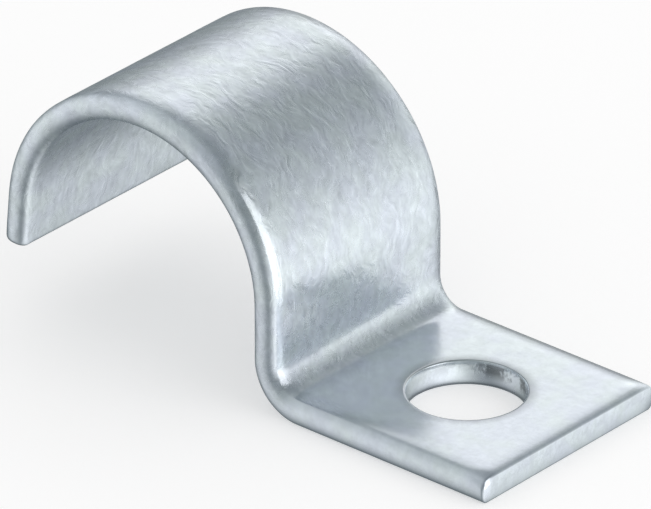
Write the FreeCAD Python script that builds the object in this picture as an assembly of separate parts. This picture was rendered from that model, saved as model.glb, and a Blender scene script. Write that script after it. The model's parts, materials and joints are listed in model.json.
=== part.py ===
# Single-lug conduit strap: one strip of zinc-coated steel, folded into a saddle,
# a short upright leg and a flat lug with one fixing hole.
#
# Millimetres. The origin is the centre of the fixing hole on the wall face of the lug.
# +Z points away from the wall, +X runs from the saddle to the end of the lug, and Y
# lies along the conduit.
import FreeCAD, Part
import math
import os

# Strip
SHEET_THICKNESS = 1.5
STRAP_WIDTH = 14.0
EDGE_ROUNDING = 0.38        # rolled long edges of the strip
END_ROUNDING = 0.15         # zinc-softened outline of the two sheared ends

# Lug
HOLE_DIAMETER = 6.5         # clears an M6 screw
HOLE_TO_LUG_END = 7.0
HOLE_TO_BEND = 6.0
PUNCH_ROLL_OVER = 0.25      # rim that the punch pulls in on the outer face

# Folds
ROOT_BEND_RADIUS = 1.5      # inside radius, between lug and leg
LEG_HEIGHT = 3.0            # straight upright between root bend and saddle
CONDUIT_DIAMETER = 16.0
FREE_LEG_LENGTH = 2.7       # straight run past the saddle
FREE_LEG_SPLAY = 5.25       # degrees that the free leg leans out, away from the lug

# A rounding takes at most this share of the thickness or radius that carries it.
ROUNDING_LIMIT = 0.45
TOLERANCE = 1e-6


class FoldedStrip:
    """Side view of a strip in the XZ plane, walked from one end to the other.

    The wall face lies to the left of the walk and the outer face to the right. Each step
    adds one edge to both faces, so the strip keeps its thickness through every fold.
    """

    def __init__(self, x, z, heading, thickness):
        self.point = FreeCAD.Vector(x, 0, z)
        self.heading = math.radians(heading)
        self.thickness = thickness
        self.left_edges = []
        self.right_edges = []
        self.first_cut = self.cut_across()
        self.end_planes = [(self.point, self.forward())]

    def forward(self):
        return FreeCAD.Vector(math.cos(self.heading), 0, math.sin(self.heading))

    def left(self):
        return FreeCAD.Vector(-math.sin(self.heading), 0, math.cos(self.heading))

    def opposite(self):
        """The point of the outer face across the strip from the current point."""
        return self.point - self.left() * self.thickness

    def cut_across(self):
        return Part.LineSegment(self.point, self.opposite()).toShape()

    def straight(self, length):
        step = self.forward() * length
        for edges, point in ((self.left_edges, self.point), (self.right_edges, self.opposite())):
            edges.append(Part.LineSegment(point, point + step).toShape())
        self.point = self.point + step

    def bend(self, degrees, inside_radius):
        """Fold by an angle: positive turns left, about a centre on the wall side."""
        turn = math.radians(degrees)
        if degrees > 0:
            centre = self.point + self.left() * inside_radius
        else:
            centre = self.opposite() - self.left() * inside_radius
        for edges, point in ((self.left_edges, self.point), (self.right_edges, self.opposite())):
            middle, end = turned(point, centre, turn / 2), turned(point, centre, turn)
            edges.append(Part.Arc(point, middle, end).toShape())
        self.point = turned(self.point, centre, turn)
        self.heading += turn

    def extruded(self, width):
        """The solid strip, centred on the XZ plane, with the planes of its two ends."""
        last_cut = self.cut_across()
        self.end_planes.append((self.point, self.forward()))
        edges = self.left_edges + [last_cut] + self.right_edges + [self.first_cut]
        side = Part.Face(Part.Wire(Part.__sortEdges__(edges)))
        side.translate(FreeCAD.Vector(0, -width / 2, 0))
        return side.extrude(FreeCAD.Vector(0, width, 0))


def turned(point, centre, turn):
    """A point of the XZ plane, turned about a centre from +X towards +Z."""
    spoke = point - centre
    cosine, sine = math.cos(turn), math.sin(turn)
    x = spoke.x * cosine - spoke.z * sine
    z = spoke.x * sine + spoke.z * cosine
    return centre + FreeCAD.Vector(x, 0, z)


def in_plane(edge, origin, normal):
    return all(abs((v.Point - origin).dot(normal)) < TOLERANCE for v in edge.Vertexes)


def limited(radius, carrier):
    """A rounding, kept small enough for the thickness or radius that carries it."""
    return min(radius, ROUNDING_LIMIT * carrier)


def folded_blank():
    """The folded strip with square edges, and the planes of its two ends."""
    strip = FoldedStrip(HOLE_TO_LUG_END, 0, 180, SHEET_THICKNESS)
    strip.straight(HOLE_TO_LUG_END + HOLE_TO_BEND)
    strip.bend(-90, ROOT_BEND_RADIUS)
    strip.straight(LEG_HEIGHT)
    strip.bend(180 - FREE_LEG_SPLAY, CONDUIT_DIAMETER / 2)
    strip.straight(FREE_LEG_LENGTH)
    return strip.extruded(STRAP_WIDTH), strip.end_planes


def with_rounded_edges(solid, end_planes):
    """Roll the four long edges, then soften the outline of each sheared end."""
    edge_radius = limited(EDGE_ROUNDING, SHEET_THICKNESS)
    end_radius = limited(END_ROUNDING, edge_radius)
    across = FreeCAD.Vector(0, 1, 0)
    sides = [(across * (STRAP_WIDTH / 2 * sign), across) for sign in (-1, 1)]

    def on_end(edge):
        return any(in_plane(edge, *plane) for plane in end_planes)

    def on_side(edge):
        return any(in_plane(edge, *plane) for plane in sides)

    solid = solid.makeFillet(edge_radius, [e for e in solid.Edges if on_side(e) and not on_end(e)])
    return solid.makeFillet(end_radius, [e for e in solid.Edges if on_end(e)])


def with_fixing_hole(solid):
    """Punch the hole, with its rim rolled in on the outer face of the lug."""
    radius = HOLE_DIAMETER / 2
    solid = solid.cut(Part.makeCylinder(radius, SHEET_THICKNESS))
    outer_face = FreeCAD.Vector(0, 0, SHEET_THICKNESS)
    up = FreeCAD.Vector(0, 0, 1)

    def on_rim(edge):
        if not isinstance(edge.Curve, Part.Circle) or not in_plane(edge, outer_face, up):
            return False
        return abs(edge.Curve.Radius - radius) < TOLERANCE

    rim = [e for e in solid.Edges if on_rim(e)]
    return solid.makeFillet(limited(PUNCH_ROLL_OVER, SHEET_THICKNESS), rim)


strap, = with_fixing_hole(with_rounded_edges(*folded_blank())).Solids

os.makedirs("parts", exist_ok=True)
strap.exportStep("parts/strap.step")

box = strap.optimalBoundingBox()
print("strap:", strap.ShapeType, "valid" if strap.isValid() else "NOT VALID")
print("size: %.2f x %.2f x %.2f mm" % (box.XLength, box.YLength, box.ZLength))
print("from %.2f %.2f %.2f" % (box.XMin, box.YMin, box.ZMin))
print("volume: %.1f mm3" % strap.Volume)
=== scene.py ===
"""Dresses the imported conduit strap: a fine folded strip in wrinkled zinc, on a pale studio floor.

The strip is made the way the real one is. A flat blank with rounded edges and a punched hole is
laid out along its fold line, Geometry Nodes fold it and wrinkle its zinc where it was bent, and
the result stands for the plain CAD solid.
"""
import json
import math

import bmesh
import bpy
from bpy.props import FloatProperty, FloatVectorProperty, IntProperty, PointerProperty
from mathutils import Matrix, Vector


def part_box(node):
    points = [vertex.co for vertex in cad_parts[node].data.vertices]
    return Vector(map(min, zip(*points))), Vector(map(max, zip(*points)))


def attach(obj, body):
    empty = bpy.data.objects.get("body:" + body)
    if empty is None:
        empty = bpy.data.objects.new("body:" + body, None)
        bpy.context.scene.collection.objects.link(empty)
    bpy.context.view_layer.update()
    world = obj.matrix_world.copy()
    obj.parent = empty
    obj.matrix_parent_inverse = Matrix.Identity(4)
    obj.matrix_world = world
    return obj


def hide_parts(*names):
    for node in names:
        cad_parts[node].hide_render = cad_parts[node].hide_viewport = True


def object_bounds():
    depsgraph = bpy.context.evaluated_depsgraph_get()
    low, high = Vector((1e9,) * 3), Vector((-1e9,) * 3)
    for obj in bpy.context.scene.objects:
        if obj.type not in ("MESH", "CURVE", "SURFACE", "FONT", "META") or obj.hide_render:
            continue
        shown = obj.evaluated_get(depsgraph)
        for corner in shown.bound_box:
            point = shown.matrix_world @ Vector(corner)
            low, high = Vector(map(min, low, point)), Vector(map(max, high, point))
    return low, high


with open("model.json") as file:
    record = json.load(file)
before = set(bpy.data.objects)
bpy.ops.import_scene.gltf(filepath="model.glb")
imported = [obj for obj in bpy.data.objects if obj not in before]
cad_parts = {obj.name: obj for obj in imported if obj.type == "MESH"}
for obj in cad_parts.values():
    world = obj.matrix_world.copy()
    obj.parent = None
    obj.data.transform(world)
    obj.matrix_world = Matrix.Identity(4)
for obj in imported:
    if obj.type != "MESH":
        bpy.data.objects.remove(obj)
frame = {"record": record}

bl_info = {
    "name": "Conduit Strap",
    "version": (1, 0, 0),
    "blender": (4, 5, 0),
    "location": "View3D > Sidebar > Conduit Strap",
    "description": "Builds a zinc-coated conduit strap and a plain studio around it",
    "category": "Add Mesh",
}

CAD_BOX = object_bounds()
STRAP_NODE = "strap"
BODY = "root"
MM = 0.001

MOUNTS = {mount["name"]: mount for mount in frame["record"]["mounts"]}
HOLE = MOUNTS["fixing_hole"]
SADDLE = MOUNTS["conduit_saddle"]
BOX_LOW, BOX_HIGH = (Vector(corner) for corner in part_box(STRAP_NODE))
SADDLE_AXIS = Vector(SADDLE["pos_m"])
SADDLE_RADIUS = SADDLE["dims"]["r_mm"] * MM
THICKNESS = BOX_HIGH.z - SADDLE_AXIS.z - SADDLE_RADIUS
WIDTH = BOX_HIGH.y - BOX_LOW.y
ROOT_BEND_RADIUS = 1.5 * MM
FREE_LEG_SPLAY = math.radians(5.25)

# The zinc: where each of its marks lies, and how strong it is
LUG_WORKED = 0.15               # share of the folds' marks that the flat lug has too
FOLD_FADE = 2 * MM              # from the lug's marks to the fold's
SHEAR_SLACK = 0.03 * MM         # what counts as on the hole's wall or on an end
# Painted shade round the hole's rim on the outer face: how far in it reaches
RIM_SHADE_REACH = 0.7 * MM
HOLE_DROP_SHARE = 0.05          # the rim falls much less than the outer borders
TORN_SIDE = (-0.5, 0.87, 0)     # side of the hole's wall with the torn marks
TORN_FADE = (0.35, 0.65)
UNTORN_SHARE = 0.2
END_TEARING = 0.15
PALE_LEAST, PALE_SPAN = 0.83, 0.34
MARK_DARKENING = 0.6
MARK_DEPTH = 0.5
# Painted shade: the colour darkens from mid-thickness to the wall face, for the shade inside the saddle
# and under the edges
INNER_PAINTED_SHADE = 0.16
INNER_SHADE_DEPTH = 0.7
# how much the painted shade at the hole's rim darkens the colour
RIM_PAINTED_SHADE = 0.36
STROKE_CONTRAST = 0.6
SHEARED_DULLING = 0.08
STREAK_BENDING = 2.4
STREAK_TURNS = (math.radians(20), math.radians(-38))
STREAK_SCALE = (0.9, 2.6, 1.6)
TORN_SCALE = (1.1, 1.1, 0.8)

# Noises: scale for each millimetre, detail, roughness
DENT_NOISE = (0.55, 2.0, 0.45)
WRINKLE_NOISE = (1.1, 2.0, 0.6)
WRINKLE_DISTORTION = 0.8
TINT_NOISE = (0.5, 3.0, 0.55)
PALE_NOISE = (1.4, 5.0, 0.7)
GLOSS_NOISE = (1.3, 3.0, 0.6)
BENDING_NOISE = (0.45, 2.0, 0.5)
STREAK_NOISE = (1.0, 3.0, 0.6)
FAMILY_NOISE = (0.7, 2.0, 0.5)
TORN_NOISE = (1.0, 4.0, 0.7)

# Ranges over which a noise, or a height in millimetres, goes from 0 to 1
TINT_RANGE = (0.38, 0.62)
GLOSS_RANGE = (0.3, 0.7)
FAMILY_RANGE = (0.42, 0.58)
TORN_RANGE = (0.44, 0.54)
TORN_LOWER = (-0.35, 0.15)
TORN_UPPER = (0.72, 0.55)

# Studio
CAD_LOW, CAD_HIGH = (Vector(corner) for corner in CAD_BOX)
AIM = (CAD_LOW + CAD_HIGH) / 2 + Vector((0.34, -0.40, -1.30)) * MM
FLOOR_RADIUS = 0.075
FLOOR_CORNERS = 96
FLOOR_GLOW = 0.40
WORLD_LIGHT = 0.8               # share of the backdrop's light that diffuse surfaces get
SENSOR_WIDTH = 36
LAMP_DISTANCE = 0.5
# The room that the metal shows: its grey, and the direction, sharpness and colour of each
# bright side. Most of these values were printed by a least-squares fit in another script,
# and some of them were changed a little after it; they weren't chosen one by one.
ROOM_GREY = (0.136, 0.166, 0.180)
BRIGHT_SIDES = (((0.36, 0.93, -0.03), 3.7, (0.66, 0.67, 0.67)),
                ((0.70, 0.68, -0.24), 12.0, (0.15, 0.15, 0.15)),
                ((-0.52, -0.46, 0.72), 1.7, (0.38, 0.39, 0.39)),
                ((-0.42, 0.84, 0.35), 10.7, (0.66, 0.65, 0.64)),
                ((0.84, -0.14, -0.53), 3.0, (1.02, 1.03, 1.03)),
                ((-0.76, -0.58, -0.30), 4.5, (0.58, 0.58, 0.58)))
# Name, azimuth from +X, elevation, width, height, brightness
LAMPS = (("side_box", 9, 16, 0.36, 0.58, 0.9),
         ("back_box", 128, 34, 0.30, 0.30, 0.3))


# ---------------------------------------------------------------- sizes and colours

class StrapSizes(bpy.types.PropertyGroup):
    """Sizes of the folded strip."""

    thickness: FloatProperty(
        name="Thickness", description="Thickness of the strip", default=THICKNESS, unit="LENGTH")
    width: FloatProperty(
        name="Width", description="Width of the strip, along the conduit", default=WIDTH, unit="LENGTH")
    edge_rounding: FloatProperty(
        name="Edge rounding", description="How far in the rolled long edges reach",
        default=0.38 * MM, unit="LENGTH")
    end_rounding: FloatProperty(
        name="End rounding", description="Softened outline of the sheared ends and the hole",
        default=0.10 * MM, unit="LENGTH")
    shear_roll: FloatProperty(
        name="Shear roll", description="How far in the shear pulled the outer face down",
        default=0.22 * MM, unit="LENGTH")
    shear_drop: FloatProperty(
        name="Shear drop", description="How far the shear pulled the outer face down",
        default=0.10 * MM, unit="LENGTH")
    crown_drop: FloatProperty(
        name="Crown drop", description="How far the outer face falls away at its borders",
        default=0.03 * MM, unit="LENGTH")
    crown_shading: FloatProperty(
        name="Crown shading", description="Further fall that only the shading shows",
        default=0.22 * MM, unit="LENGTH")
    end_bulge: FloatProperty(
        name="End bulge", description="How far the sheared ends stand out at mid thickness",
        default=0.045 * MM, unit="LENGTH")
    crown_reach: FloatProperty(
        name="Crown reach", description="How far in from its borders the outer face falls away",
        default=1.2 * MM, unit="LENGTH")
    hole_radius: FloatProperty(
        name="Hole radius", description="Radius of the fixing hole",
        default=HOLE["dims"]["r_mm"] * MM, unit="LENGTH")
    hole_roll: FloatProperty(
        name="Hole roll", description="Width of the rim that the punch pulled in",
        default=0.15 * MM, unit="LENGTH")
    hole_drop: FloatProperty(
        name="Hole drop", description="Depth of the rim that the punch pulled in",
        default=0.06 * MM, unit="LENGTH")
    hole_to_end: FloatProperty(
        name="Hole to end", description="From the hole's centre to the end of the lug",
        default=BOX_HIGH.x - HOLE["pos_m"][0], unit="LENGTH")
    root_bend_radius: FloatProperty(
        name="Root bend radius", description="Inside radius between lug and leg",
        default=ROOT_BEND_RADIUS, unit="LENGTH")
    leg_height: FloatProperty(
        name="Leg height", description="Straight upright between root bend and saddle",
        default=SADDLE_AXIS.z - THICKNESS - ROOT_BEND_RADIUS, unit="LENGTH")
    saddle_radius: FloatProperty(
        name="Saddle radius", description="Inside radius of the saddle",
        default=SADDLE_RADIUS, unit="LENGTH")
    free_leg_splay: FloatProperty(
        name="Free leg splay", description="How far the free leg leans away from the lug",
        default=FREE_LEG_SPLAY, subtype="ANGLE")
    free_leg_length: FloatProperty(
        name="Free leg length", description="Straight run past the saddle",
        default=2.7 * MM, unit="LENGTH")
    mesh_step: FloatProperty(
        name="Mesh step", description="Spacing of the mesh on the broad faces",
        default=0.145 * MM, unit="LENGTH")


class ZincFinish(bpy.types.PropertyGroup):
    """Colour and relief of the zinc coating."""

    blue: FloatVectorProperty(
        name="Bluish zinc", description="Colour of the bluer patches",
        default=(0.785, 0.82, 0.885), subtype="COLOR", min=0, max=1)
    green: FloatVectorProperty(
        name="Greenish zinc", description="Colour of the greener patches",
        default=(0.80, 0.85, 0.87), subtype="COLOR", min=0, max=1)
    dent_depth: FloatProperty(
        name="Dent depth", description="Height of the broad unevenness of the coating",
        default=0.010 * MM, unit="LENGTH")
    wrinkle_depth: FloatProperty(
        name="Wrinkle depth", description="Height of the fine wrinkles at the folds",
        default=0.008 * MM, unit="LENGTH")
    streak_depth: FloatProperty(
        name="Streak depth", description="Height of the fine streaks at the folds",
        default=0.034 * MM, unit="LENGTH")
    glossy: FloatProperty(
        name="Glossy patches", description="Roughness of the glossier patches", default=0.17)
    dull: FloatProperty(
        name="Dull patches", description="Roughness of the duller patches", default=0.23)
    bent_dulling: FloatProperty(
        name="Bent dulling", description="Roughness that the fold added", default=0.08)
    softening: IntProperty(
        name="Softening", description="How far the zinc rounds the look of the edges", default=12)
    seed: IntProperty(name="Seed", description="Fixed place in the noise patterns", default=7)


class StudioSettings(bpy.types.PropertyGroup):
    """The plain studio: its camera and the floor's colour."""

    azimuth: FloatProperty(
        name="Azimuth", description="Camera's turn about the vertical, from straight in front",
        default=math.radians(40.72), subtype="ANGLE")
    elevation: FloatProperty(
        name="Elevation", description="Camera's height above the horizon",
        default=math.radians(28.17), subtype="ANGLE")
    distance: FloatProperty(
        name="Distance", description="From the camera to its aim", default=0.6474, unit="LENGTH")
    lens: FloatProperty(name="Lens", description="Focal length in millimetres", default=674.1)
    floor_colour: FloatVectorProperty(
        name="Floor", description="Colour of the floor", default=(0.8, 0.8, 0.8),
        subtype="COLOR", min=0, max=1)


# ---------------------------------------------------------------- the flat blank

def link(thing):
    bpy.context.scene.collection.objects.link(thing)
    return thing


def linspace(first, last, steps):
    return [first + (last - first) * i / steps for i in range(steps + 1)]


def steps_for(length, step):
    return max(1, round(abs(length) / step))


class FoldLine:
    """Mid-plane of the strip in the XZ plane, from the end of the lug to the free end."""

    CHORD = 0.05 * MM

    def __init__(self, sizes):
        half = sizes.thickness / 2
        self.heading = math.pi
        self.points = [Vector((HOLE["pos_m"][0] + sizes.hole_to_end, 0, half))]
        self.length = 0.0
        leg_x = SADDLE_AXIS.x + sizes.saddle_radius + half
        lug_end = leg_x + half + sizes.root_bend_radius
        self.straight(self.points[0].x - lug_end)
        self.root_start = self.length
        self.bend(-math.pi / 2, sizes.root_bend_radius + half)
        self.straight(sizes.leg_height)
        self.bend(math.pi - sizes.free_leg_splay, sizes.saddle_radius + half)
        self.straight(sizes.free_leg_length)

    def step(self, length):
        forward = Vector((math.cos(self.heading), 0, math.sin(self.heading)))
        self.points.append(self.points[-1] + forward * length)

    def straight(self, length):
        count = steps_for(length, self.CHORD)
        for _ in range(count):
            self.step(length / count)
        self.length += length

    def bend(self, turn, radius):
        count = steps_for(turn * radius, self.CHORD)
        piece = turn / count
        for _ in range(count):
            self.heading += piece / 2
            self.step(2 * radius * math.sin(abs(piece) / 2))
            self.heading += piece / 2
        self.length += abs(turn) * radius

    def curve_object(self):
        curve = bpy.data.curves.new("fold_line", "CURVE")
        curve.dimensions = "3D"
        spline = curve.splines.new("POLY")
        spline.points.add(len(self.points) - 1)
        for place, point in zip(spline.points, self.points):
            place.co = (*point, 1)
        return link(bpy.data.objects.new("fold_line", curve))


def rolled_edge(along, deep, steps):
    """A quarter ellipse from an end in: distance from the end, and the drop there."""
    return [(along * (1 - math.cos(turn)), deep * (1 - math.sin(turn)))
            for turn in linspace(0, math.pi / 2, steps)]


class BlankMesh:
    """The flat strip: X runs along it from the lug's end, Y across it, Z through it."""

    SIDE_STEPS = 18
    SIDE_POWER = 2.5
    ROLL_STEPS = 8
    WALL_STEPS = 10
    PATCH_HALF = 5.0 * MM
    PATCH_RINGS = 15

    def __init__(self, sizes, length):
        self.sizes = sizes
        self.length = length
        self.mesh = bmesh.new()
        self.half = sizes.thickness / 2
        self.columns, self.patch_columns = self.places(
            sizes.edge_rounding - sizes.width / 2, sizes.width / 2 - sizes.edge_rounding, 0)
        self.stations, self.patch_stations = self.places(
            sizes.shear_roll, length - sizes.shear_roll, sizes.hole_to_end)

    def places(self, first, last, hole):
        """Even steps from first to last, with the edges of the hole's patch among them."""
        step = self.sizes.mesh_step
        low, high = hole - self.PATCH_HALF, hole + self.PATCH_HALF
        before = linspace(first, low, steps_for(low - first, step))
        patch = linspace(low, high, steps_for(high - low, step))
        after = linspace(high, last, steps_for(last - high, step))
        return before[:-1] + patch + after[1:], (len(before) - 1, len(before) + len(patch) - 2)

    def build(self):
        rings = self.end_rings(0, 1)
        first = len(rings)
        rings += [self.ring(x) for x in self.stations]
        rings += reversed(self.end_rings(self.length, -1))
        low, high = (first + place for place in self.patch_stations)
        for i, (one, two) in enumerate(zip(rings, rings[1:])):
            self.skin(one, two, holed=low <= i < high)
        self.cap(rings[0])
        self.cap(rings[-1])
        self.punch(rings[low:high + 1])
        bmesh.ops.delete(
            self.mesh, geom=[v for v in self.mesh.verts if not v.link_faces], context="VERTS")
        bmesh.ops.recalc_face_normals(self.mesh, faces=self.mesh.faces)
        mesh = bpy.data.meshes.new("blank")
        self.mesh.to_mesh(mesh)
        self.mesh.free()
        return mesh

    def end_rings(self, end, inwards):
        """Rings of a sheared end: its outer edge rolled down and its other edges softened."""
        s = self.sizes
        rings = []
        for away, drop in rolled_edge(s.shear_roll, s.shear_drop, self.ROLL_STEPS)[:-1]:
            soft = 1 - min(away / s.end_rounding, 1)
            softened = s.end_rounding * (1 - math.sqrt(1 - soft ** 2))
            rings.append(self.ring(end + inwards * away, drop, softened))
        return rings

    def ring(self, x, drop=0.0, softened=0.0):
        """Vertices round the strip: outer face, far edge, wall face, near edge."""
        s = self.sizes
        top, low = self.half - drop, softened - self.half
        middle, reach = (top + low) / 2, (top - low) / 2
        depth = s.edge_rounding
        edge = []
        for turn in linspace(math.pi / 2, -math.pi / 2, self.SIDE_STEPS)[1:-1]:
            rise = abs(math.sin(turn)) ** (2 / self.SIDE_POWER) * math.copysign(reach, turn)
            out = s.width / 2 - depth + (depth - softened) * math.cos(turn)
            edge.append((out, middle + rise))
        add = self.mesh.verts.new
        outer = [add((x, y, top)) for y in self.columns]
        far = [add((x, out, z)) for out, z in edge]
        wall = [add((x, y, low)) for y in reversed(self.columns)]
        near = [add((x, -out, z)) for out, z in reversed(edge)]
        return outer, far, wall, near

    def skin(self, one, two, holed):
        """Faces between two rings, less those of the patch round the hole."""
        first, last = self.patch_columns
        for side, (low, high) in enumerate(zip(one, two)):
            open_side = holed and side in (0, 2)
            after = (side + 1) % len(one)
            low, high = low + one[after][:1], high + two[after][:1]
            for i in range(len(low) - 1):
                if not (open_side and first <= self.column(side, i) < last):
                    self.mesh.faces.new((low[i], low[i + 1], high[i + 1], high[i]))

    def column(self, side, i):
        """Column of a face of the outer or the wall side, which runs the other way."""
        return i if side == 0 else len(self.columns) - 2 - i

    def cap(self, ring):
        """Closes an end with a grid from its outer to its wall edge."""
        outer, far, wall, near = ring
        above = outer
        for left, right in zip(reversed(near), far):
            row = [left]
            for vertex in outer[1:-1]:
                row.append(self.mesh.verts.new((left.co.x, vertex.co.y, left.co.z)))
            row.append(right)
            self.strip(above, row)
            above = row
        self.strip(above, list(reversed(wall)))

    def strip(self, above, below):
        for i in range(len(above) - 1):
            self.mesh.faces.new((above[i], below[i], below[i + 1], above[i + 1]))

    def punch(self, rings):
        """The square patches round the hole, on both faces, and the wall between them."""
        s = self.sizes
        outer = [ring[0] for ring in rings]
        wall = [list(reversed(ring[2])) for ring in rings]
        outer_border, wall_border = self.border(outer), self.border(wall)
        radius, burr = s.hole_radius, s.end_rounding
        loop = self.spread(outer_border, radius + s.hole_roll, self.half)
        roll = rolled_edge(s.hole_roll, s.hole_drop, self.ROLL_STEPS)
        profile = [(radius + away, self.half - drop) for away, drop in reversed(roll)][1:]
        profile += [(radius, z) for z in
                    linspace(self.half - s.hole_drop, burr - self.half, self.WALL_STEPS)[1:]]
        for out, z in profile:
            circle = self.circle(outer_border, out, z)
            self.bridge(loop, circle)
            loop = circle
        self.bridge(loop, self.spread(wall_border, radius + burr, -self.half))

    def border(self, rows):
        """Vertices round a patch's square hole, in order."""
        first, last = self.patch_columns
        loop = rows[0][first:last]
        loop += [row[last] for row in rows[:-1]]
        loop += reversed(rows[-1][first + 1:last + 1])
        loop += [row[first] for row in reversed(rows[1:])]
        return loop

    def circle(self, border, radius, z, share=1.0):
        """A loop on the way from a square border to a circle round the hole's axis."""
        centre = Vector((self.sizes.hole_to_end, 0))
        loop = []
        for vertex in border:
            away = vertex.co.xy - centre
            place = centre + away.lerp(away.normalized() * radius, share)
            loop.append(self.mesh.verts.new((*place, z)))
        return loop

    def spread(self, border, radius, z):
        """Loops of faces from a square border in to a circle, which is returned."""
        loop = border
        for share in linspace(0, 1, self.PATCH_RINGS)[1:]:
            inner = self.circle(border, radius, z, share)
            self.bridge(loop, inner)
            loop = inner
        return loop

    def bridge(self, one, two):
        for i in range(len(one)):
            j = (i + 1) % len(one)
            self.mesh.faces.new((one[i], one[j], two[j], two[i]))


# ---------------------------------------------------------------- node trees

class TreeBuilder:
    """Adds nodes to a tree; an input is a constant or the socket that feeds it."""

    def __init__(self, tree):
        self.tree = tree

    def node(self, kind, inputs=None, **settings):
        made = self.tree.nodes.new(kind)
        for name, value in settings.items():
            setattr(made, name, value)
        for key, value in (inputs or {}).items():
            socket = made.inputs[key]
            if isinstance(value, bpy.types.NodeSocket):
                self.tree.links.new(value, socket)
            else:
                socket.default_value = value
        return made

    def math(self, operation, *values):
        return self.node("ShaderNodeMath", dict(enumerate(values)), operation=operation).outputs[0]

    def vector(self, operation, *values):
        made = self.node("ShaderNodeVectorMath", dict(enumerate(values)), operation=operation)
        return made.outputs[0]

    def measure(self, operation, *values):
        """A vector operation whose result is a number."""
        made = self.node("ShaderNodeVectorMath", dict(enumerate(values)), operation=operation)
        return made.outputs["Value"]

    def scaled(self, vector, factor):
        made = self.node("ShaderNodeVectorMath", {0: vector, "Scale": factor}, operation="SCALE")
        return made.outputs[0]

    def ramp(self, value, low, high, first=0.0, last=1.0, **settings):
        """From first to last as the value goes from low to high, and level outside."""
        made = self.node(
            "ShaderNodeMapRange",
            {"Value": value, "From Min": low, "From Max": high, "To Min": first, "To Max": last},
            **settings)
        return made.outputs[0]

    def noise(self, place, scale, detail, roughness, output=0, **others):
        inputs = {"Vector": place, "Scale": scale, "Detail": detail, "Roughness": roughness}
        return self.node("ShaderNodeTexNoise", {**inputs, **others}).outputs[output]


def geometry_tree(name, inputs):
    """A Geometry Nodes tree with a geometry going in and out and the named inputs."""
    tree = bpy.data.node_groups.new(name, "GeometryNodeTree")
    tree.is_modifier = True
    tree.interface.new_socket("Geometry", in_out="INPUT", socket_type="NodeSocketGeometry")
    for label, kind in inputs:
        tree.interface.new_socket(label, in_out="INPUT", socket_type=kind)
    tree.interface.new_socket("Geometry", in_out="OUTPUT", socket_type="NodeSocketGeometry")
    builder = TreeBuilder(tree)
    return tree, builder, builder.node("NodeGroupInput"), builder.node("NodeGroupOutput")


def set_inputs(modifier, values):
    """Sets a modifier's inputs, found by name and set by their sockets' identifiers."""
    for item in modifier.node_group.interface.items_tree:
        if item.item_type == "SOCKET" and item.in_out == "INPUT" and item.name in values:
            modifier[item.identifier] = values[item.name]


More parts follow.
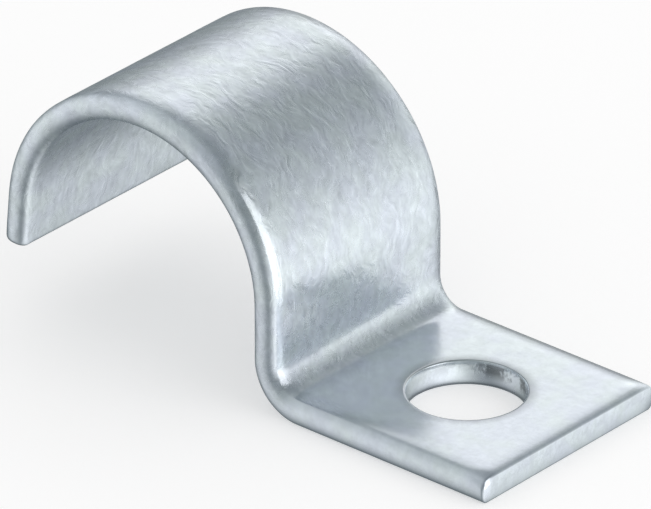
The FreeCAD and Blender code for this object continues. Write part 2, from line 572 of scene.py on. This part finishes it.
def fold_tree():
    """Folds a flat blank: X is measured along the fold line, Y stays, Z goes out from it."""
    inputs = (("Fold Line", "NodeSocketObject"), ("Material", "NodeSocketMaterial"),
              ("Dent Depth", "NodeSocketFloat"), ("Wrinkle Depth", "NodeSocketFloat"),
              ("Fold Start", "NodeSocketFloat"), ("Fold End", "NodeSocketFloat"),
              ("Hole Centre", "NodeSocketVector"), ("Hole Radius", "NodeSocketFloat"),
              ("Strip Length", "NodeSocketFloat"), ("Half Width", "NodeSocketFloat"),
              ("Half Thickness", "NodeSocketFloat"), ("Crown Drop", "NodeSocketFloat"),
              ("Crown Reach", "NodeSocketFloat"), ("Crown Shading", "NodeSocketFloat"),
              ("End Bulge", "NodeSocketFloat"), ("Softening", "NodeSocketInt"),
              ("Seed", "NodeSocketInt"))
    tree, build, given, result = geometry_tree("fold_strip", inputs)
    flat = build.node("GeometryNodeInputPosition").outputs[0]
    axes = build.node("ShaderNodeSeparateXYZ", {0: flat})
    along, across, through = axes.outputs

    line = build.node("GeometryNodeObjectInfo", {"Object": given.outputs["Fold Line"]})
    sample = build.node(
        "GeometryNodeSampleCurve", {"Curves": line.outputs["Geometry"], "Length": along},
        mode="LENGTH", use_all_curves=False)
    spine = sample.outputs["Position"]
    outward = build.vector("CROSS_PRODUCT", (0, 1, 0), sample.outputs["Tangent"])
    outward = build.vector("NORMALIZE", outward)
    fall = border_fall(build, given, flat)
    shown = build.math("MULTIPLY", fall, given.outputs["Crown Shading"])
    rise = build.scaled(outward, shown)
    drop = build.math("MULTIPLY_ADD", fall, given.outputs["Crown Drop"], shown)
    through = build.math("SUBTRACT", through, drop)
    lift = build.scaled(outward, through)
    sideways = build.node("ShaderNodeCombineXYZ", {"Y": across}).outputs[0]
    bulge = build.scaled(sample.outputs["Tangent"], end_bulge(build, given, flat))
    folded = spine
    for part in (lift, sideways, bulge):
        folded = build.vector("ADD", folded, part)

    geometry = given.outputs["Geometry"]
    for name, value, kind in (("worked", worked_amount(build, given, along), "FLOAT"),
                              ("sheared", sheared_faces(build, given, flat, along), "FLOAT"),
                              # painted shade round the hole's rim
                              ("dulled", painted_rim_shade(build, given, flat), "FLOAT"),
                              ("flat_place", flat, "FLOAT_VECTOR")):
        geometry = build.node(
            "GeometryNodeStoreNamedAttribute",
            {"Geometry": geometry, "Name": name, "Value": value},
            data_type=kind, domain="POINT").outputs[0]
    before = captured(build, geometry, rise)
    bend = build.node(
        "GeometryNodeSetPosition",
        {"Geometry": before.outputs["Geometry"], "Position": folded})
    outside = build.node("GeometryNodeFlipFaces", {"Mesh": bend.outputs[0]})
    smooth = build.node("GeometryNodeSetShadeSmooth", {"Geometry": outside.outputs[0]})

    normal = build.node("GeometryNodeInputNormal").outputs[0]
    soft = build.node(
        "GeometryNodeBlurAttribute", {"Value": normal, "Iterations": given.outputs["Softening"]},
        data_type="FLOAT_VECTOR").outputs[0]
    leaning = captured(build, smooth.outputs[0], build.vector("NORMALIZE", soft))
    raised = build.node(
        "GeometryNodeSetPosition",
        {"Geometry": leaning.outputs["Geometry"], "Offset": before.outputs["Kept"]})
    plain = captured(build, raised.outputs[0], normal)
    relief = build.node(
        "GeometryNodeSetPosition",
        {"Geometry": plain.outputs["Geometry"], "Offset": zinc_relief(build, given)})
    change = build.vector("SUBTRACT", normal, plain.outputs["Kept"])
    shaded = build.vector("NORMALIZE", build.vector("ADD", leaning.outputs["Kept"], change))
    softened = build.node(
        "GeometryNodeSetMeshNormal", {"Mesh": relief.outputs[0], "Custom Normal": shaded},
        mode="FREE", domain="POINT")
    painted = build.node(
        "GeometryNodeSetMaterial",
        {"Geometry": softened.outputs[0], "Material": given.outputs["Material"]})
    real = build.node("GeometryNodeRealizeInstances", {"Geometry": painted.outputs[0]})
    build.tree.links.new(real.outputs[0], result.inputs["Geometry"])
    return tree


def on_ends(build, given, along):
    """1 on the lug's end and 1 on the free end, as two values."""
    last = build.math("SUBTRACT", given.outputs["Strip Length"], SHEAR_SLACK)
    return (build.math("LESS_THAN", along, SHEAR_SLACK),
            build.math("GREATER_THAN", along, last))


def hole_spoke(build, given, flat):
    """From the hole's axis to a place, level with the strip."""
    level = build.vector("MULTIPLY", flat, (1, 1, 0))
    return build.vector("SUBTRACT", level, given.outputs["Hole Centre"])


def hole_gap(build, given, flat):
    """Distance from the hole's wall."""
    away = build.measure("LENGTH", hole_spoke(build, given, flat))
    return build.math("SUBTRACT", away, given.outputs["Hole Radius"])


def end_bulge(build, given, flat):
    """How far the two sheared ends stand out, most in the middle of the thickness."""
    along, _, through = build.node("ShaderNodeSeparateXYZ", {0: flat}).outputs
    near_end, far_end = on_ends(build, given, along)
    height = build.math("DIVIDE", through, given.outputs["Half Thickness"])
    share = build.math("SUBTRACT", 1.0, build.math("MULTIPLY", height, height))
    share = build.math("MULTIPLY", share, build.math("SUBTRACT", far_end, near_end))
    return build.math("MULTIPLY", share, given.outputs["End Bulge"])


def captured(build, geometry, value):
    """Keeps a vector as it is at this step, for use after later steps."""
    made = build.node("GeometryNodeCaptureAttribute", domain="POINT")
    made.capture_items.new("VECTOR", "Kept")
    build.tree.links.new(geometry, made.inputs["Geometry"])
    build.tree.links.new(value, made.inputs["Kept"])
    return made


def border_fall(build, given, flat):
    """Share of the fall of the outer face towards its edges, its ends and the hole's rim."""
    along, across, through = build.node("ShaderNodeSeparateXYZ", {0: flat}).outputs
    borders = (
        build.math("SUBTRACT", given.outputs["Half Width"], build.math("ABSOLUTE", across)),
        along,
        build.math("SUBTRACT", given.outputs["Strip Length"], along),
        hole_gap(build, given, flat))
    fall = 0.0
    for distance, deepest in zip(borders, (1.0, 1.0, 1.0, HOLE_DROP_SHARE)):
        share = build.ramp(distance, 0.0, given.outputs["Crown Reach"], 1.0, 0.0)
        share = build.math("MULTIPLY", share, share)
        fall = build.math("MULTIPLY_ADD", share, deepest, fall)
    upper = build.math("DIVIDE", through, given.outputs["Half Thickness"])
    upper = build.math("MAXIMUM", upper, 0.0)
    return build.math("MULTIPLY", fall, upper)


def worked_amount(build, given, along):
    """1 where the fold stretched the zinc, falling to a little on the flat lug."""
    return build.ramp(along, given.outputs["Fold Start"], given.outputs["Fold End"],
                      LUG_WORKED, 1.0, interpolation_type="SMOOTHSTEP")


def sheared_faces(build, given, flat, along):
    """1 on the torn side of the hole's wall, less on the rest of it and on the two ends."""
    spoke = hole_spoke(build, given, flat)
    reach = build.math("ADD", given.outputs["Hole Radius"], SHEAR_SLACK)
    hole = build.math("LESS_THAN", build.measure("LENGTH", spoke), reach)
    toward = build.measure("DOT_PRODUCT", spoke, TORN_SIDE)
    toward = build.math("DIVIDE", toward, given.outputs["Hole Radius"])
    hole = build.math("MULTIPLY", hole, build.ramp(toward, *TORN_FADE, UNTORN_SHARE, 1.0))
    ends = build.math("MAXIMUM", *on_ends(build, given, along))
    ends = build.math("MULTIPLY", ends, END_TEARING)
    return build.math("MAXIMUM", hole, ends)


def painted_rim_shade(build, given, flat):
    """Painted shade near the hole: 1 beside the hole on the outer face, falling to 0 further out."""
    gap = hole_gap(build, given, flat)
    share = build.ramp(gap, 0.0, RIM_SHADE_REACH, 1.0, 0.0)
    through = build.node("ShaderNodeSeparateXYZ", {0: flat}).outputs["Z"]
    on_face = build.math("MULTIPLY", build.math("GREATER_THAN", through, 0.0),
                         build.math("GREATER_THAN", gap, SHEAR_SLACK))
    return build.math("MULTIPLY", share, on_face)


def zinc_relief(build, given):
    """Offset along the normal: broad dents all over and finer wrinkles where it was folded."""
    place = build.node("GeometryNodeInputPosition").outputs[0]
    shift = build.node("ShaderNodeCombineXYZ", {"X": given.outputs["Seed"]})
    place = build.vector("ADD", build.scaled(place, 1 / MM), shift.outputs[0])
    worked = build.node(
        "GeometryNodeInputNamedAttribute", {"Name": "worked"}, data_type="FLOAT").outputs[0]
    dents = build.noise(place, *DENT_NOISE)
    wrinkles = build.noise(place, *WRINKLE_NOISE, Distortion=WRINKLE_DISTORTION)
    broad, fine = (
        build.math("MULTIPLY", build.math("SUBTRACT", height, 0.5), given.outputs[depth])
        for height, depth in ((dents, "Dent Depth"), (wrinkles, "Wrinkle Depth")))
    height = build.math("MULTIPLY", build.math("ADD", broad, fine), worked)
    normal = build.node("GeometryNodeInputNormal").outputs[0]
    return build.scaled(normal, height)


# ---------------------------------------------------------------- zinc

def zinc_material(finish):
    """Bright zinc: cloudy colour and gloss, streaked where it was bent, torn where sheared, and painted
    shade on the wall side and at the hole's rim.
    """
    material = bpy.data.materials.new("zinc_coating")
    material.use_nodes = True
    material.node_tree.nodes.clear()
    build = TreeBuilder(material.node_tree)
    place = build.node("ShaderNodeAttribute", attribute_name="flat_place").outputs["Vector"]
    place = build.node("ShaderNodeMapping", {"Vector": place, "Scale": (1 / MM,) * 3}).outputs[0]
    worked = build.node("ShaderNodeAttribute", attribute_name="worked").outputs["Fac"]
    sheared = build.node("ShaderNodeAttribute", attribute_name="sheared").outputs["Fac"]
    # painted shade round the hole's rim, kept by the fold tree
    dulled = build.node("ShaderNodeAttribute", attribute_name="dulled").outputs["Fac"]
    streaks = streak_height(build, place)
    marks = torn_marks(build, place, sheared)

    colour = mixed(build, build.noise(place, *TINT_NOISE), finish.green, finish.blue)
    pale = build.math("MULTIPLY_ADD", build.noise(place, *PALE_NOISE), PALE_SPAN, PALE_LEAST)
    rise = build.node("ShaderNodeSeparateXYZ", {0: place}).outputs["Z"]
    # painted shade: darker from mid-thickness towards the wall face
    inner = build.ramp(rise, 0.0, -INNER_SHADE_DEPTH)
    strokes = build.math("MULTIPLY", build.math("SUBTRACT", streaks, 0.5), worked)
    for amount, change in ((marks, -MARK_DARKENING), (inner, -INNER_PAINTED_SHADE),
                           (dulled, -RIM_PAINTED_SHADE), (strokes, STROKE_CONTRAST)):
        pale = build.math("MULTIPLY", pale, build.math("MULTIPLY_ADD", amount, change, 1.0))
    colour = build.scaled(colour, pale)

    gloss = build.ramp(build.noise(place, *GLOSS_NOISE), *GLOSS_RANGE)
    rough = build.math("MULTIPLY_ADD", gloss, finish.dull - finish.glossy, finish.glossy)
    rough = build.math("ADD", rough, build.math("MULTIPLY", worked, finish.bent_dulling))
    rough = build.math("ADD", rough, build.math("MULTIPLY", sheared, SHEARED_DULLING))

    height = build.math("MULTIPLY", streaks, worked)
    height = build.math("ADD", height, build.math("MULTIPLY", marks, -MARK_DEPTH))
    bump = build.node(
        "ShaderNodeBump", {"Height": height, "Strength": 1.0, "Distance": finish.streak_depth})
    shader = build.node(
        "ShaderNodeBsdfPrincipled",
        {"Base Color": colour, "Metallic": 1.0, "Roughness": rough,
         "Normal": bump.outputs[0]})
    build.node("ShaderNodeOutputMaterial", {"Surface": shader.outputs[0]})
    return material


def mixed(build, share, one, two):
    """One colour turning into another as a noise goes from its low to its high patches."""
    made = build.node(
        "ShaderNodeMix",
        {0: build.ramp(share, *TINT_RANGE), 6: (*one, 1), 7: (*two, 1)}, data_type="RGBA")
    return made.outputs[2]


def streak_height(build, place):
    """Short crooked streaks in two crossing directions, each in patches of its own."""
    away = build.vector("SUBTRACT", build.noise(place, *BENDING_NOISE, output=1), (0.5, 0.5, 0.5))
    crooked = build.vector("ADD", place, build.scaled(away, STREAK_BENDING))
    families = []
    for turn in STREAK_TURNS:
        turned = build.node(
            "ShaderNodeMapping",
            {"Vector": crooked, "Rotation": (0, 0, turn), "Scale": STREAK_SCALE})
        families.append(build.noise(turned.outputs[0], *STREAK_NOISE))
    share = build.ramp(build.noise(place, *FAMILY_NOISE), *FAMILY_RANGE)
    both = build.node("ShaderNodeMix", {0: share, 2: families[0], 3: families[1]})
    return both.outputs[0]


def torn_marks(build, place, sheared):
    """Dark ragged marks on the sheared metal, below the edge that the tool pulled in."""
    torn = build.node("ShaderNodeMapping", {"Vector": place, "Scale": TORN_SCALE}).outputs[0]
    torn = build.ramp(build.noise(torn, *TORN_NOISE), *TORN_RANGE)
    rise = build.node("ShaderNodeSeparateXYZ", {0: place}).outputs["Z"]
    upper = build.math("MULTIPLY", build.ramp(rise, *TORN_LOWER), build.ramp(rise, *TORN_UPPER))
    return build.math("MULTIPLY", build.math("MULTIPLY", torn, upper), sheared)


# ---------------------------------------------------------------- operators

class STRAP_OT_folded_strip(bpy.types.Operator):
    """Builds the folded zinc-coated strip in place of the plain solid"""

    bl_idname = "strap.folded_strip"
    bl_label = "Folded Strip"

    def execute(self, context):
        scene = context.scene
        sizes = scene.strap_sizes
        finish = scene.strap_finish
        line = FoldLine(sizes)
        guide = line.curve_object()
        blank = link(bpy.data.objects.new("blank", BlankMesh(sizes, line.length).build()))
        modifier = blank.modifiers.new("fold", "NODES")
        modifier.node_group = fold_tree()
        set_inputs(modifier, {
            "Fold Line": guide, "Material": zinc_material(finish),
            "Dent Depth": finish.dent_depth, "Wrinkle Depth": finish.wrinkle_depth,
            "Fold Start": line.root_start, "Fold End": line.root_start + FOLD_FADE,
            "Hole Centre": (sizes.hole_to_end, 0, 0), "Hole Radius": sizes.hole_radius,
            "Strip Length": line.length, "Half Width": sizes.width / 2,
            "Half Thickness": sizes.thickness / 2, "Crown Drop": sizes.crown_drop,
            "Crown Reach": sizes.crown_reach, "Crown Shading": sizes.crown_shading,
            "End Bulge": sizes.end_bulge, "Softening": finish.softening,
            "Seed": finish.seed})
        context.view_layer.update()
        evaluated = blank.evaluated_get(context.evaluated_depsgraph_get())
        mesh = bpy.data.meshes.new_from_object(evaluated)
        if not mesh.polygons:
            raise RuntimeError("folding the blank left no faces")
        mesh.name = "folded_strip"
        strip = link(bpy.data.objects.new("folded_strip", mesh))
        bpy.data.objects.remove(blank)
        bpy.data.objects.remove(guide)
        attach(strip, BODY)
        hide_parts(STRAP_NODE)
        return {"FINISHED"}


class STRAP_OT_studio(bpy.types.Operator):
    """Builds the floor, the lamps, the background and the camera"""

    bl_idname = "strap.studio"
    bl_label = "Studio"

    def execute(self, context):
        scene = context.scene
        studio = scene.strap_studio
        scene.view_settings.view_transform = "Standard"
        self.camera(scene, studio)
        self.floor(studio)
        self.background(scene)
        self.lamps()
        return {"FINISHED"}

    def camera(self, scene, studio):
        data = bpy.data.cameras.new("camera")
        data.lens = studio.lens
        data.sensor_width = SENSOR_WIDTH
        camera = link(bpy.data.objects.new("camera", data))
        self.aim(camera, studio.azimuth - math.pi / 2, studio.elevation, studio.distance)
        scene.camera = camera

    def aim(self, thing, azimuth, elevation, distance):
        """Points a camera or a lamp at the strap; its azimuth is turned from +X."""
        away = Vector((math.cos(azimuth) * math.cos(elevation),
                       math.sin(azimuth) * math.cos(elevation), math.sin(elevation)))
        thing.location = AIM + away * distance
        thing.rotation_euler = away.to_track_quat("Z", "Y").to_euler()

    def floor(self, studio):
        """Keeps the strap's shadow, glows a little for the camera, and isn't seen in metal."""
        bpy.ops.mesh.primitive_circle_add(
            vertices=FLOOR_CORNERS, radius=FLOOR_RADIUS, fill_type="TRIFAN",
            location=(AIM.x, AIM.y, BOX_LOW.z))
        floor = bpy.context.object
        floor.name = "floor"
        material = bpy.data.materials.new("floor")
        material.use_nodes = True
        material.node_tree.nodes.clear()
        build = TreeBuilder(material.node_tree)
        paint = build.node("ShaderNodeBsdfDiffuse", {"Color": (*studio.floor_colour, 1)})
        seen = build.node("ShaderNodeLightPath").outputs["Is Camera Ray"]
        glow = build.math("MULTIPLY", seen, FLOOR_GLOW)
        glow = build.node("ShaderNodeEmission", {"Strength": glow})
        both = build.node("ShaderNodeAddShader", {0: paint.outputs[0], 1: glow.outputs[0]})
        build.node("ShaderNodeOutputMaterial", {"Surface": both.outputs[0]})
        floor.data.materials.append(material)
        floor.visible_glossy = False

    def background(self, scene):
        """Pale as a backdrop, and in the metal a grey room with some bright sides."""
        world = bpy.data.worlds.new("studio")
        world.use_nodes = True
        world.node_tree.nodes.clear()
        build = TreeBuilder(world.node_tree)
        way = build.node("ShaderNodeTexCoord").outputs["Generated"]
        level = ROOM_GREY
        for direction, sharpness, colour in BRIGHT_SIDES:
            facing = build.math("MAXIMUM", build.measure("DOT_PRODUCT", way, direction), 0.0)
            glow = build.scaled(colour, build.math("POWER", facing, sharpness))
            level = build.vector("ADD", glow, level)
        rays = build.node("ShaderNodeLightPath").outputs
        room = build.node("ShaderNodeBackground", {"Color": level})
        plain = build.ramp(rays["Is Diffuse Ray"], 0.0, 1.0, 1.0, WORLD_LIGHT)
        backdrop = build.node("ShaderNodeBackground", {"Strength": plain})
        both = build.node(
            "ShaderNodeMixShader",
            {0: rays["Is Glossy Ray"], 1: backdrop.outputs[0], 2: room.outputs[0]})
        build.node("ShaderNodeOutputWorld", {"Surface": both.outputs[0]})
        scene.world = world

    def lamps(self):
        for name, azimuth, elevation, width, height, level in LAMPS:
            data = bpy.data.lights.new(name, "AREA")
            data.shape = "RECTANGLE"
            data.size = width
            data.size_y = height
            data.energy = level * width * height * math.pi
            lamp = link(bpy.data.objects.new(name, data))
            self.aim(lamp, math.radians(azimuth), math.radians(elevation), LAMP_DISTANCE)
            lamp.visible_camera = False


class STRAP_PT_panel(bpy.types.Panel):
    """Lists the strap's operators and settings"""

    bl_idname = "STRAP_PT_panel"
    bl_label = "Conduit Strap"
    bl_space_type = "VIEW_3D"
    bl_region_type = "UI"
    bl_category = "Conduit Strap"

    def draw(self, context):
        for group in (context.scene.strap_sizes, context.scene.strap_finish,
                      context.scene.strap_studio):
            box = self.layout.box()
            for name in group.__annotations__:
                box.prop(group, name)
        for operator in OPERATORS:
            self.layout.operator(operator.bl_idname)


GROUPS = {"strap_sizes": StrapSizes, "strap_finish": ZincFinish, "strap_studio": StudioSettings}
OPERATORS = (STRAP_OT_folded_strip, STRAP_OT_studio)
CLASSES = (*GROUPS.values(), *OPERATORS, STRAP_PT_panel)


def register():
    for made in CLASSES:
        bpy.utils.register_class(made)
    for name, group in GROUPS.items():
        setattr(bpy.types.Scene, name, PointerProperty(type=group))


def unregister():
    for name in GROUPS:
        delattr(bpy.types.Scene, name)
    for made in reversed(CLASSES):
        bpy.utils.unregister_class(made)


def main():
    register()
    bpy.ops.strap.folded_strip()
    bpy.ops.strap.studio()


if __name__ == "__main__":
    main()
